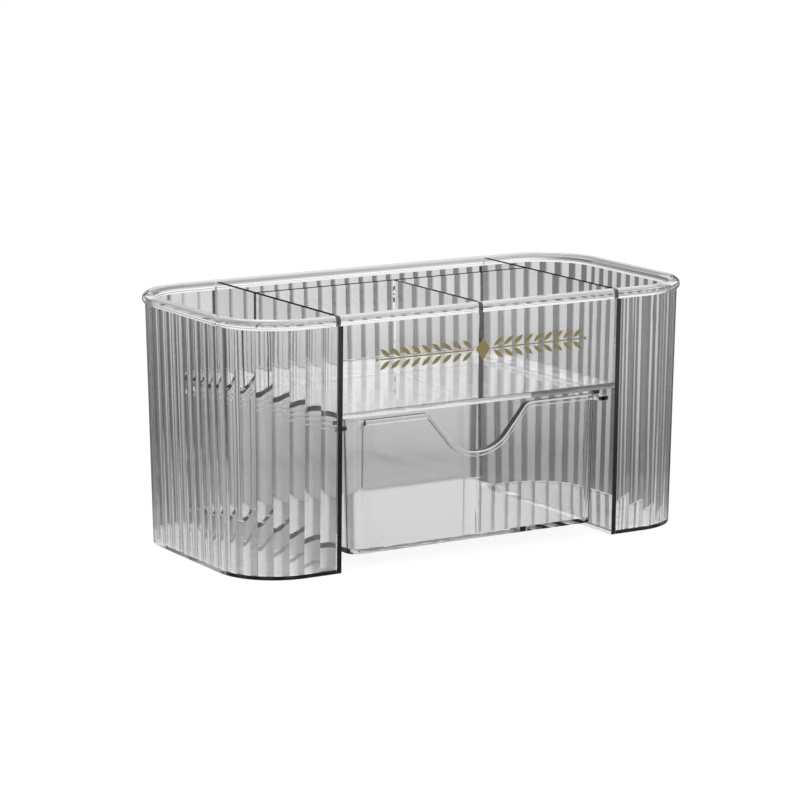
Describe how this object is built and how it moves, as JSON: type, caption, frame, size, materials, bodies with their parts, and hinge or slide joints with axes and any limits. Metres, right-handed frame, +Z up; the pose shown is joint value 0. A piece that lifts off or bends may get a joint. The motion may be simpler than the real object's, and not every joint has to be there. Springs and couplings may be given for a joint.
{
  "type": "brush holder with drawer",
  "caption": "Clear fluted vanity organiser: two full-height brush cups at the ends, open-topped compartments between them and a drawer with a finger dip slung under their deck.",
  "frame": {"origin": "centre of the footprint, on the surface that the holder stands on", "axes": "+Z up, +X to the right along the length, -Y the front, where the drawer pulls out"},
  "size_m": [0.21, 0.105, 0.1],
  "materials": {
    "clear_plastic": "polished, clear with a faint smoke grey tint",
    "drawer_plastic": "polished, clear with a faint smoke grey tint",
    "gold_foil": "matt antique gold hot-stamped foil"
  },
  "bodies": {
    "holder": {"rim": "clear_plastic", "left_tower_wall": "clear_plastic", "right_tower_wall": "clear_plastic", "back_wall": "clear_plastic", "front_panel": "clear_plastic", "bay_back": "clear_plastic", "deck": "clear_plastic", "left_divider": "clear_plastic", "right_divider": "clear_plastic", "rear_divider": "clear_plastic", "cross_divider": "clear_plastic", "left_floor": "clear_plastic", "right_floor": "clear_plastic", "left_rail": "clear_plastic", "right_rail": "clear_plastic", "gold_ornament": "gold_foil"},
    "drawer": {"drawer_tray": "drawer_plastic", "left_runner": "drawer_plastic", "right_runner": "drawer_plastic"}
  },
  "joints": [
    {"name": "drawer_slide", "type": "slide", "parent": "holder", "child": "drawer", "axis": [0, -1, 0], "range_m": [0, 0.075]}
  ]
}
